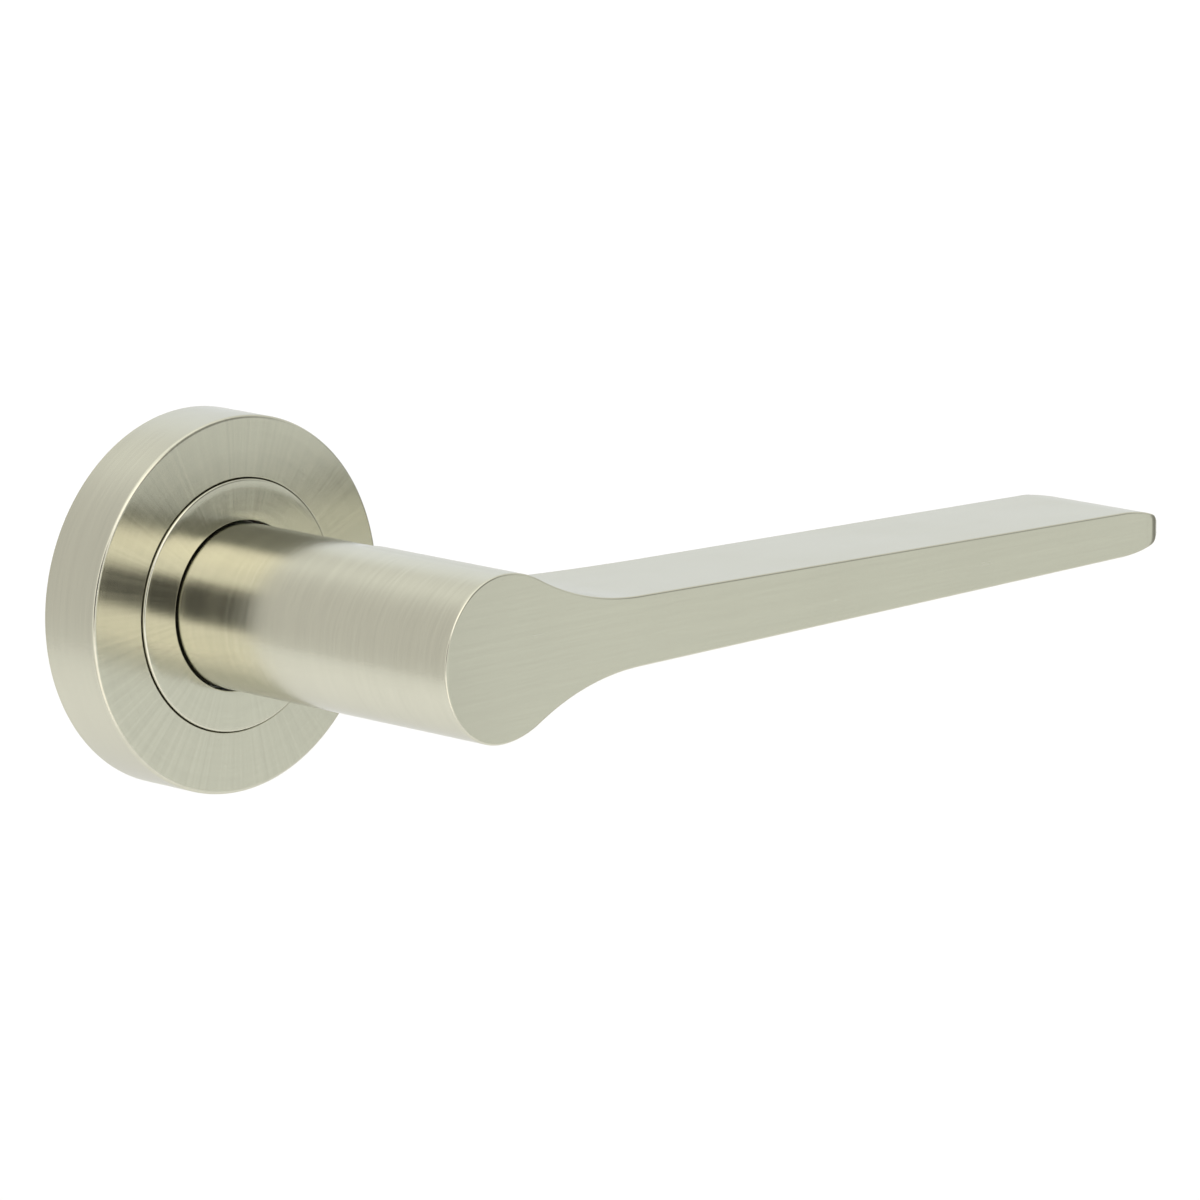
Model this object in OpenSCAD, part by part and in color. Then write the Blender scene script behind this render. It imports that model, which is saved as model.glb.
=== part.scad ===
// Sprung door lever handle on a round rose, one side of a door.
// The frame: the spindle runs along Y through the origin, the door's face is the plane y = 0,
// the handle stands out towards -Y, the lever points along +X, and +Z is up.

/* [Rose] */
// Outer diameter of the rose cover
rose_d = 52; // [51.5:0.1:54]
// Height of the rose above the door
rose_h = 10; // [10:0.1:10.6]
// Diameter of the hole in the rose cover
cover_hole_d = 35; // [34.9:0.05:35.2]
// Thickness of the rose cover's wall and face
cover_wall = 1.2; // [1:0.05:1.25]
// Distance between the two through bolts
bolt_centres = 38; // [37.6:0.1:38.6]
// Side of the square on which the four wood screws stand
screw_centres = 29; // [28.6:0.1:29.4]

/* [Lever] */
// Distance from the door to the front of the lever
projection = 61; // [56:0.5:75]
// Distance from the spindle axis to the tip of the lever
lever_reach = 132; // [110:0.5:150]
// Front to back size of the blade
blade_depth = 20.1; // [16:0.1:24]
// Diameter of the neck
neck_d = 22.8; // [22.2:0.1:23]
// Half of the blade's height, where the taper would meet the spindle axis
blade_half = 5.3; // [4.8:0.05:6]
// How much the half height falls for each millimetre along the blade
blade_taper = 0.017; // [0.005:0.001:0.02]
// Radius of the neck's shoulder as it rolls over into the blade
shoulder_r = 15.5; // [13:0.5:18]
// Radius of the hollow curve between the shoulder and the blade
hollow_r = 43; // [35:1:55]
// Length of the rounded tip
tip_length = 9.5; // [5:0.1:12]
// Radius of the tip's front corner, seen from above
tip_corner_r = 3; // [1:0.1:4]
// Radius of the tip's back corner, seen from above
tip_back_r = 10.5; // [3:0.5:11]
// How far out the hollow flare between the neck and the back of the blade reaches
flare_reach = 35; // [20:1:45]
// How far down the neck the flare starts, below the back of the blade
flare_depth = 6.8; // [3:0.1:9]
// Radius of the front face's slight sweep towards the user, at the neck's end
sweep_r = 400; // [300:10:800]
// How far from the spindle axis the sweep starts
sweep_from = 24; // [15:1:35]

/* [Spindle and spring] */
// Side of the square spindle
spindle_side = 8; // [7.5:0.1:8.2]
// How far the spindle stands out behind the door's face
spindle_out = 21; // [15:1:60]
// How far down the lever turns
lever_turn = 45; // [30:1:50]
// Wire diameter of the return spring
wire_d = 1.2; // [1:0.05:1.2]
// Turns of the return spring
spring_turns = 1.6; // [1.5:0.01:1.65]

/* [Hidden] */
$fn = 96;
eps = 0.5;                      // how far a cutter runs past the face that it cuts
fit = 0.05;                     // clearance all round between pieces that fit each other

rose_r = rose_d / 2;
cover_in_r = rose_r - cover_wall;
cover_hole_r = cover_hole_d / 2;
cover_edge_r = 0.5;

collar_r = cover_hole_r - 0.15;
collar_proud = 0.4;
collar_front = rose_h + collar_proud;
collar_back = rose_h - fit - 1;
collar_skirt = 0.9;
collar_skirt_back = 7.1;

neck_r = neck_d / 2;
neck_hole_r = neck_r + 0.3;
neck_back = 8.45;
shank_r = 9;
shank_back = -0.8;
shank_flat = 8.5;
shank_flat_front = 4.6;

flange_r = cover_in_r - 0.5;
flange_h = 7;
boss_r = collar_r - collar_skirt - fit;
boss_front = collar_back - 0.02;
roof_back = 8.05;
cavity_r = 14.8;
cavity_back = 3.1;
hub_r = 12.9;
hub_back = 4.8;
bush_seat_r = 10.6;
bush_step = 7.1;
bush_front = 7.95;
neck_washer_front = 8.4;

clip_back = 0.05;
clip_t = 1;
clip_groove_r = 8.4;
clip_r = 10.4;
clip_gap = 50;                  // degrees
clip_lug_r = 1.4;
clip_lug_ring_r = 10.2;
clip_lug_hole_r = 0.7;
washer_back = 1.1;
washer_t = 0.5;
washer_r = 12.2;
rear_bush_back = washer_back + washer_t + fit;
plate_back = 2.1;
plate_t = 1;
plate_r = 15.2;
plate_hole_r = 10.05;
ear_x = 18.6;
ear_w = 6;
ear_end = 3;
drive_back = 3.3;
drive_t = 1.2;
drive_r = 14.5;
drive_notch_r = 11.3;

pin_r = 1.25;
pin_ring_r = 12.9;
pin_front = 4.4;
pin_angle = asin(pin_r / pin_ring_r);
pin_play = 1.5;                 // degrees of play between a stop pin and its notch

spring_r = 13.7;
spring_low = 5.3;
spring_high = 7.4;
spring_leg_angle = 20;
leg_back = 3.5;
leg_front = 8.8;
leg_hole_r = wire_d / 2 + 0.15;
leg_bend_r = 1;

grip_r = 0.6;
grip_ring_r = 24.1;
grip_at = 2.2;

sleeve_r = 3;
sleeve_head_r = 3.6;
sleeve_head_back = 5.6;
sleeve_head_t = 1.2;
sleeve_out = 8;
sleeve_bore_r = 1.65;
sleeve_bore_front = 4.2;

screw_hole_r = 2.1;
screw_head_r = 3.4;
screw_seat = 4;

m25_r = 1.2;
m25_head_r = 2.1;
m25_head_t = 1;
m25_front = 6.4;

socket_half = spindle_side / 2 + fit;
socket_front = 36;
spindle_front = 35;
grub_r = 2.5;
grub_at = 22;
grub_length = 6;
grub_key = 2.5;

zinc = [0.62, 0.62, 0.60];
nickel = [0.74, 0.74, 0.69];
steel = [0.55, 0.56, 0.58];
nylon = [0.90, 0.89, 0.84];
rubber = [0.12, 0.12, 0.12];
black_oxide = [0.16, 0.16, 0.17];
brass = [0.78, 0.64, 0.36];

// Children drawn with z as the distance from the door and y as up, set into the handle's frame.
module from_door() {
  rotate([90, 0, 0])
    children();
}

// A disc or cylinder between two distances from the door.
module disc(r, back, front) {
  translate([0, 0, back])
    cylinder(r = r, h = front - back);
}

// A flat ring between two distances from the door.
module ring(r, bore_r, back, front) {
  difference() {
    disc(r, back, front);
    disc(bore_r, back - eps, front + eps);
  }
}

// A ring whose front outer edge is rounded.
function rounded_section(r, bore_r, back, front, edge_r) = concat(
  [[bore_r, back], [r, back]],
  [for (a = [0 : 15 : 90]) [r - edge_r + edge_r * cos(a), front - edge_r + edge_r * sin(a)]],
  [[bore_r, front]]
);

// Cross slot for a driver, cut into a head whose top is at z = 0 and faces -z.
module cross_slot(across, width, depth) {
  for (turn = [0, 90])
    rotate([0, 0, turn])
      translate([-across / 2, -width / 2, -eps])
        cube([across, width, depth + eps]);
}

// ---- The rose: what is fixed to the door ----

// Holes in the base casting for the two bolt sleeves and the four wood screws.
module fixing_holes() {
  for (side = [-1, 1])
    translate([0, side * bolt_centres / 2, 0]) {
      disc(sleeve_r, -eps, flange_h + eps);
      disc(sleeve_head_r + fit, sleeve_head_back, flange_h + fit);
    }
  for (side = [-1, 1], level = [-1, 1])
    translate([side * screw_centres / 2, level * screw_centres / 2, 0]) {
      disc(screw_hole_r, -eps, screw_seat + eps);
      disc(screw_head_r, screw_seat, flange_h + eps);
    }
}

// The outline of the plate that closes the cassette, with an ear for a screw on each side.
module plate_outline(clearance) {
  circle(r = plate_r + clearance);
  half_w = ear_w / 2 + clearance;
  translate([-ear_x, -half_w])
    square([2 * ear_x, 2 * half_w]);
  for (side = [-1, 1])
    translate([side * ear_x, 0])
      circle(r = half_w);
}

module sub_rose() {
  color(zinc)
    from_door()
      difference() {
        union() {
          disc(flange_r, 0, flange_h);
          disc(boss_r, flange_h - eps, boss_front);
        }
        translate([0, 0, -eps])
          linear_extrude(cavity_back + eps)
            plate_outline(0.1);
        difference() {
          disc(cavity_r, cavity_back - eps, roof_back);
          disc(hub_r, hub_back, roof_back + eps);
        }
        disc(bush_seat_r, 0, bush_step + eps);
        disc(neck_hole_r, bush_step, rose_h);
        fixing_holes();
        for (side = [-1, 1])
          translate([side * ear_x, 0, 0])
            disc(m25_r + fit, cavity_back - eps, m25_front + eps);
        rotate([0, 0, spring_leg_angle + 360 * spring_turns])
          translate([spring_r, 0, 0])
            disc(leg_hole_r, roof_back - eps, rose_h);
        translate([0, 0, grip_at])
          rotate_extrude()
            translate([grip_ring_r, 0])
              circle(r = grip_r + fit);
      }
}

module centre_collar() {
  color(nickel)
    from_door()
      difference() {
        rotate_extrude()
          polygon(rounded_section(collar_r, neck_hole_r, collar_skirt_back, collar_front, 0.3));
        disc(boss_r + fit, collar_skirt_back - eps, collar_back);
      }
}

module neck_bush() {
  color(nylon)
    from_door()
      difference() {
        union() {
          disc(bush_seat_r - fit, hub_back + 0.1, bush_step + eps);
          disc(neck_hole_r - 0.1, bush_step + 0.02, bush_front);
        }
        disc(shank_r + fit, 0, rose_h);
      }
}

module rear_bush() {
  color(nylon)
    from_door()
      difference() {
        union() {
          disc(plate_hole_r - fit, rear_bush_back, plate_back + plate_t + 0.05);
          disc(plate_hole_r + 1, rear_bush_back, plate_back - 0.02);
        }
        disc(shank_r + fit, 0, rose_h);
      }
}

module cassette_plate() {
  color(steel)
    from_door()
      difference() {
        translate([0, 0, plate_back])
          linear_extrude(plate_t)
            plate_outline(0);
        disc(plate_hole_r, 0, rose_h);
        for (side = [-1, 1]) {
          translate([side * ear_x, 0, 0])
            disc(m25_r + fit, 0, rose_h);
          translate([0, side * pin_ring_r, 0])
            disc(pin_r + 0.02, 0, rose_h);
        }
      }
}

module cassette_screw(side) {
  color(steel)
    from_door()
      translate([side * ear_x, 0, 0])
        difference() {
          union() {
            disc(m25_head_r, plate_back - m25_head_t - 0.02, plate_back - 0.02);
            disc(m25_r, plate_back - eps, m25_front);
          }
          translate([0, 0, plate_back - m25_head_t - 0.02])
            cross_slot(2.4, 0.5, 0.8);
        }
}

module stop_pin(side) {
  color(steel)
    from_door()
      translate([0, side * pin_ring_r, 0])
        disc(pin_r, plate_back, pin_front);
}

module bolt_sleeve(side) {
  color(brass)
    from_door()
      translate([0, side * bolt_centres / 2, 0])
        difference() {
          union() {
            disc(sleeve_r - fit, -sleeve_out, sleeve_head_back + eps);
            disc(sleeve_head_r, sleeve_head_back + 0.02, sleeve_head_back + sleeve_head_t);
          }
          disc(sleeve_bore_r, -sleeve_out - eps, sleeve_bore_front);
        }
}

module cover_grip_ring() {
  color(rubber)
    from_door()
      translate([0, 0, grip_at])
        rotate_extrude()
          translate([grip_ring_r, 0])
            circle(r = grip_r);
}

// The spring lies on a cylinder. Unrolled, its wire is a leg, a bend, a slope, a bend and a leg.
// A station is [arc length round the cylinder, height, heading], with the heading in degrees.
coil_arc = PI / 180 * spring_r * 360 * spring_turns;
coil_slope = atan((spring_high - spring_low) / (coil_arc - 2 * leg_bend_r));
bend_steps = [0 : 0.25 : 1];
coil_steps = [0.0125 : 0.0125 : 0.9875];

function low_bend(heading) = [
  leg_bend_r * (1 - sin(heading)),
  spring_low - leg_bend_r + leg_bend_r * cos(heading),
  heading
];

function high_bend(heading) = [
  coil_arc - leg_bend_r + leg_bend_r * sin(heading),
  spring_high + leg_bend_r - leg_bend_r * cos(heading),
  heading
];

function wire_stations() = concat(
  [[0, leg_back, 90]],
  [for (t = bend_steps) low_bend(90 + t * (coil_slope - 90))],
  [for (t = coil_steps) low_bend(coil_slope) * (1 - t) + high_bend(coil_slope) * t],
  [for (t = bend_steps) high_bend(coil_slope + t * (90 - coil_slope))],
  [[coil_arc, leg_front, 90]]
);

// The points round the wire at one station.
function wire_ring(station, sides) =
  let (
    turn = station[0] / spring_r * 180 / PI,
    outward = [cos(turn), sin(turn), 0],
    along = [-sin(turn), cos(turn), 0],
    across = [0, 0, cos(station[2])] - sin(station[2]) * along,
    centre = spring_r * outward + [0, 0, station[1]]
  )
  [for (k = [0 : sides - 1])
    centre + wire_d / 2 * (cos(360 * k / sides) * outward + sin(360 * k / sides) * across)];

module return_spring() {
  sides = 8;
  stations = wire_stations();
  last = len(stations) - 1;
  color(steel)
    from_door()
      rotate([0, 0, spring_leg_angle])
        polyhedron(
          points = [for (station = stations) each wire_ring(station, sides)],
          faces = concat(
            [[for (k = [sides - 1 : -1 : 0]) k]],
            [for (i = [0 : last - 1], k = [0 : sides - 1])
              let (next = (k + 1) % sides)
              [i * sides + k, i * sides + next, (i + 1) * sides + next, (i + 1) * sides + k]],
            [[for (k = [0 : sides - 1]) last * sides + k]]
          )
        );
}

module rose_cover() {
  pry_w = 6;
  pry_h = 1.2;
  color(nickel)
    from_door()
      difference() {
        rotate_extrude()
          polygon(rounded_section(rose_r, cover_hole_r, 0, rose_h, cover_edge_r));
        disc(cover_in_r, -eps, rose_h - cover_wall);
        translate([-pry_w / 2, -rose_r - eps, -eps])
          cube([pry_w, cover_wall + 1, pry_h + eps]);
      }
}

// ---- The lever and what turns with it ----

// The upper edge of the blade, seen from the front: a shoulder, a hollow, a taper and the tip.
taper_length = sqrt(1 + blade_taper * blade_taper);
shoulder_centre = [0, neck_r - shoulder_r];
hollow_rise = blade_half + hollow_r * taper_length - shoulder_centre[1];
hollow_x = (hollow_rise * blade_taper
  + sqrt(pow(hollow_rise * blade_taper, 2)
    - pow(taper_length, 2) * (pow(hollow_rise, 2) - pow(shoulder_r + hollow_r, 2))))
  / pow(taper_length, 2);
hollow_centre = [hollow_x, hollow_rise - blade_taper * hollow_x + shoulder_centre[1]];
shoulder_end = atan2(hollow_centre[1] - shoulder_centre[1], hollow_centre[0]);
hollow_end = 270 - atan(blade_taper);
tip_x = lever_reach - tip_length;
tip_half = blade_half - blade_taper * tip_x;

function arc_steps(from, to, count) = [for (k = [0 : count]) from + (to - from) * k / count];

upper_edge = concat(
  [for (a = arc_steps(90, shoulder_end, 6)) shoulder_centre + shoulder_r * [cos(a), sin(a)]],
  [for (a = arc_steps(shoulder_end + 180, hollow_end, 12))
    if (a > shoulder_end + 180) hollow_centre + hollow_r * [cos(a), sin(a)]],
  [for (a = arc_steps(90, 0, 12)) [tip_x + tip_length * cos(a), tip_half * sin(a)]]
);

lower_edge = [for (k = [len(upper_edge) - 2 : -1 : 0]) [upper_edge[k][0], -upper_edge[k][1]]];

blade_back = projection - blade_depth;
sweep_end = asin((sweep_from + neck_r + eps) / sweep_r);
sweep_rise = sweep_r * (1 - cos(sweep_end));
front_limit = projection + sweep_rise + eps;

// The lever seen from above, as [x, distance from the door], with the sweep at the neck's end.
plan = concat(
  [for (a = arc_steps(0, sweep_end, 8))
    [sweep_from, projection] + sweep_r * [-sin(a), 1 - cos(a)]],
  [[-neck_r - eps, 0], [neck_r + flare_reach, 0], [neck_r + flare_reach, blade_back]],
  [for (a = arc_steps(-90, 0, 12))
    [lever_reach, blade_back] + tip_back_r * [cos(a) - 1, sin(a) + 1]],
  [for (a = arc_steps(0, 90, 6))
    [lever_reach, projection] + tip_corner_r * [cos(a) - 1, sin(a) - 1]]
);

// The section of the flare that runs from the neck to the back of the blade, turned about the neck.
flare = concat(
  [[0, blade_back - flare_depth]],
  [for (a = arc_steps(90, 0, 10))
    [neck_r + flare_reach * (1 - sin(a)), blade_back - flare_depth * (1 - cos(a))]],
  [[lever_reach + eps, blade_back], [lever_reach + eps, front_limit], [0, front_limit]]
);

// Neck and blade, both ended by the same front face.
module neck_and_blade() {
  intersection() {
    union() {
      disc(neck_r, neck_back, front_limit);
      intersection() {
        linear_extrude(front_limit)
          polygon(concat(upper_edge, lower_edge));
        rotate_extrude()
          polygon(flare);
      }
    }
    rotate([90, 0, 0])
      linear_extrude(3 * neck_r, center = true)
        polygon(plan);
  }
}

// The round part that turns in the bushes, with two flats for the drive plate.
module shank() {
  difference() {
    disc(shank_r, shank_back, neck_back + eps);
    for (side = [-1, 1])
      translate([side * (shank_flat + shank_r) - shank_r, -shank_r, shank_back - eps])
        cube([2 * shank_r, 2 * shank_r, shank_flat_front - shank_back + eps]);
    ring(shank_r + eps, clip_groove_r, clip_back - fit, clip_back + clip_t + fit);
  }
}

module lever() {
  color(nickel)
    from_door()
      difference() {
        union() {
          neck_and_blade();
          shank();
        }
        translate([-socket_half, -socket_half, shank_back - eps])
          cube([2 * socket_half, 2 * socket_half, socket_front - shank_back + eps]);
        translate([0, 0, grub_at])
          rotate([90, 0, 0])
            disc(grub_r + fit, 0, neck_r + eps);
      }
}

module neck_washer() {
  color(nylon)
    from_door()
      ring(neck_hole_r - 0.2, shank_r + fit, bush_front + fit, neck_washer_front);
}

// The wedge of a notch in the drive plate, open at the rim.
module notch(from, to) {
  far_r = 2 * drive_r;
  difference() {
    polygon(concat([[0, 0]], [for (a = arc_steps(from, to, 4)) far_r * [cos(a), sin(a)]]));
    circle(r = drive_notch_r);
  }
}

module drive_plate() {
  slot_w = 2 * leg_hole_r;
  color(steel)
    from_door()
      translate([0, 0, drive_back])
        linear_extrude(drive_t)
          difference() {
            circle(r = drive_r);
            intersection() {
              circle(r = shank_r + fit);
              square([2 * (shank_flat + fit), 4 * shank_r], center = true);
            }
            for (start = [90, 270])
              notch(start - pin_angle - pin_play, start + lever_turn + pin_angle + pin_play);
            rotate([0, 0, spring_leg_angle])
              translate([spring_r - leg_hole_r, -slot_w / 2])
                square([2 * slot_w, slot_w]);
          }
}

module retaining_washer() {
  color(steel)
    from_door()
      ring(washer_r, shank_r + 2 * fit, washer_back, washer_back + washer_t);
}

// External retaining ring, thickest opposite its gap, with a lug and a hole on each side of the gap.
module circlip() {
  lug_angle = clip_gap / 2 + 9;
  offset_up = 0.5;
  color(black_oxide)
    from_door()
      translate([0, 0, clip_back])
        linear_extrude(clip_t)
          difference() {
            union() {
              translate([0, offset_up])
                circle(r = clip_r);
              for (side = [-1, 1])
                rotate([0, 0, -90 + side * lug_angle])
                  translate([clip_lug_ring_r, 0])
                    circle(r = clip_lug_r);
            }
            circle(r = clip_groove_r + fit);
            polygon(concat([[0, 0]],
              [for (a = arc_steps(-90 - clip_gap / 2, -90 + clip_gap / 2, 2))
                3 * clip_r * [cos(a), sin(a)]]));
            for (side = [-1, 1])
              rotate([0, 0, -90 + side * lug_angle])
                translate([clip_lug_ring_r, 0])
                  circle(r = clip_lug_hole_r);
          }
}

module spindle() {
  color(steel)
    from_door()
      translate([-spindle_side / 2, -spindle_side / 2, -spindle_out])
        cube([spindle_side, spindle_side, spindle_front + spindle_out]);
}

module grub_screw() {
  color(black_oxide)
    from_door()
      translate([0, 0, grub_at])
        rotate([90, 0, 0])
          translate([0, 0, spindle_side / 2 + 0.02])
            difference() {
              cylinder(r = grub_r, h = grub_length);
              translate([0, 0, grub_length - grub_key])
                cylinder(r = grub_key / sqrt(3), h = grub_key + eps, $fn = 6);
            }
}

sub_rose();
centre_collar();
neck_bush();
rear_bush();
return_spring();
cassette_plate();
cassette_screw(1);  // cassette_screw_right
cassette_screw(-1);  // cassette_screw_left
stop_pin(1);  // stop_pin_upper
stop_pin(-1);  // stop_pin_lower
bolt_sleeve(1);  // bolt_sleeve_upper
bolt_sleeve(-1);  // bolt_sleeve_lower
cover_grip_ring();
rose_cover();
lever();
neck_washer();
drive_plate();
retaining_washer();
circlip();
spindle();
grub_screw();
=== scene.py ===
# Looks of a sprung door lever handle on a round rose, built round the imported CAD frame.
# The shapes are drawn in millimetres, as (x, out, z), and MM turns them into metres. Out is the
# distance from the door's face towards the user, along -Y. The floor and the camera are in metres.
import math

import bmesh
import bpy
import numpy as np
from mathutils import Matrix, Vector


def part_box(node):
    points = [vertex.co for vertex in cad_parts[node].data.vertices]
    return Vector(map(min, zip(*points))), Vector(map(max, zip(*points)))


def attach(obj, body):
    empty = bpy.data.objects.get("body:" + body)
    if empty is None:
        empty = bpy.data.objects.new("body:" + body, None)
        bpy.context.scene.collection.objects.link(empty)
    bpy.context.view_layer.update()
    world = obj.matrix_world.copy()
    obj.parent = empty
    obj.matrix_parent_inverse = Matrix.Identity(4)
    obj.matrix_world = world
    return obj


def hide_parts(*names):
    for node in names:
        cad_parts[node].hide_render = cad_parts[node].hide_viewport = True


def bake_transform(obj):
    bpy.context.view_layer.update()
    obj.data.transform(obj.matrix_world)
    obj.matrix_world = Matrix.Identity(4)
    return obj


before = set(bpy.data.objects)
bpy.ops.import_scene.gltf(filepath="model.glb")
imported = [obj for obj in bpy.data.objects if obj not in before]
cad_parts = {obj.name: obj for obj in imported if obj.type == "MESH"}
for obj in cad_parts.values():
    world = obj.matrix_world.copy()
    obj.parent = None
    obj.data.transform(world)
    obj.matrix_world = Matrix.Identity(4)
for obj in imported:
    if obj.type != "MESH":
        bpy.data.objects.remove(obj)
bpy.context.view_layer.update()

MM = 0.001
ROOT = "rose"
COVER = "cover"
LEVER = "lever_assembly"


# ---------------------------------------------------------------- sizes from the frame

def node_size(name):
    """A CAD node's lowest and highest (x, out, z) in millimetres."""
    low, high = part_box(name)
    return (
        (low.x / MM, -high.y / MM, low.z / MM),
        (high.x / MM, -low.y / MM, high.z / MM),
    )


lever_low, lever_high = node_size("lever")
cover_high = node_size("rose_cover")[1]
collar_low, collar_high = node_size("centre_collar")
spindle_low, spindle_high = node_size("spindle")
coil_low, coil_high = node_size("return_spring")
grub_low, grub_high = node_size("grub_screw")

REACH = lever_high[0]
NECK_R = -lever_low[0]
NECK_BACK = 8.45        # the shoulder behind the neck, which stands on the neck washer
ROSE_R = cover_high[0]
ROSE_H = cover_high[1]
GRUB_OUT = (grub_low[1] + grub_high[1]) / 2
COLLAR_R = collar_high[0]
COLLAR_FRONT = collar_high[1]
COVER_HOLE_R = COLLAR_R + 0.15
SWEEP_R = 400.0         # the front face sweeps towards the user on this radius
SWEEP_FROM = 24.0       # from this x to the neck's end


# ---------------------------------------------------------------- mesh helpers

def to_frame(x, out, z):
    return Vector((x * MM, -out * MM, z * MM))


class Shell:
    """Collects corners and faces given as (x, out, z), and makes one mesh object of them."""

    def __init__(self):
        self.points = []
        self.faces = []
        self.marks = []

    def point(self, x, out, z):
        self.points.append(to_frame(x, out, z))
        return len(self.points) - 1

    def face(self, corners, mark=0):
        corners = [c for i, c in enumerate(corners) if c != corners[i - 1]]
        if len(corners) > 2:
            self.faces.append(corners)
            self.marks.append(mark)

    def strip(self, first, second, mark=0, closed=False):
        """Quads between two rows of corners."""
        count = len(first)
        for i in range(count if closed else count - 1):
            j = (i + 1) % count
            self.face([first[i], first[j], second[j], second[i]], mark)

    def build(self, name, materials):
        mesh = bpy.data.meshes.new(name)
        mesh.from_pydata(self.points, [], self.faces)
        for material in materials:
            mesh.materials.append(material)
        mesh.polygons.foreach_set("material_index", self.marks)
        work = bmesh.new()
        work.from_mesh(mesh)
        bmesh.ops.remove_doubles(work, verts=work.verts, dist=1e-7)
        bmesh.ops.recalc_face_normals(work, faces=work.faces)
        work.to_mesh(mesh)
        work.free()
        piece = bpy.data.objects.new(name, mesh)
        bpy.context.scene.collection.objects.link(piece)
        return piece


def smooth(piece, crease_deg=50):
    """Smooth shading where each corner's normal is led by its largest faces, and creases stay sharp."""
    mesh = piece.data
    mesh.polygons.foreach_set("use_smooth", [True] * len(mesh.polygons))
    work = bmesh.new()
    work.from_mesh(mesh)
    for edge in work.edges:
        sharp = len(edge.link_faces) != 2 or edge.calc_face_angle(0) > math.radians(crease_deg)
        edge.smooth = not sharp
    work.to_mesh(mesh)
    work.free()
    weighted = piece.modifiers.new("weighted_normals", "WEIGHTED_NORMAL")
    weighted.mode = "FACE_AREA"
    weighted.weight = 100
    weighted.keep_sharp = True
    bake_modifiers(piece)
    return piece


def bake_modifiers(piece):
    """Turns a piece's modifiers into its mesh."""
    bpy.context.view_layer.update()
    evaluated = piece.evaluated_get(bpy.context.evaluated_depsgraph_get())
    mesh = bpy.data.meshes.new_from_object(evaluated)
    piece.modifiers.clear()
    piece.data = mesh


def arc(centre, radius, start_deg, end_deg, steps):
    """Points on an arc, as (r, out) pairs."""
    angles = [math.radians(start_deg + (end_deg - start_deg) * i / steps) for i in range(steps + 1)]
    return [(centre[0] + radius * math.cos(a), centre[1] + radius * math.sin(a)) for a in angles]


def lathe(name, profile, material, steps=256):
    """Turns a closed profile of (r, out) pairs about the spindle's axis."""
    shell = Shell()
    turns = [2 * math.pi * i / steps for i in range(steps)]
    rows = [[shell.point(r * math.cos(a), out, r * math.sin(a)) for a in turns] for r, out in profile]
    for first, second in zip(rows, rows[1:] + rows[:1]):
        shell.strip(first, second, closed=True)
    return shell.build(name, [material])


def subtract(piece, work, name):
    """Cuts the closed shape in a bmesh out of a piece."""
    mesh = bpy.data.meshes.new(name)
    work.to_mesh(mesh)
    work.free()
    tool = bpy.data.objects.new(name, mesh)
    bpy.context.scene.collection.objects.link(tool)
    cut = piece.modifiers.new(name, "BOOLEAN")
    cut.operation = "DIFFERENCE"
    cut.solver = "EXACT"
    cut.object = tool
    bake_modifiers(piece)
    bpy.data.objects.remove(tool)


# ---------------------------------------------------------------- materials

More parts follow.
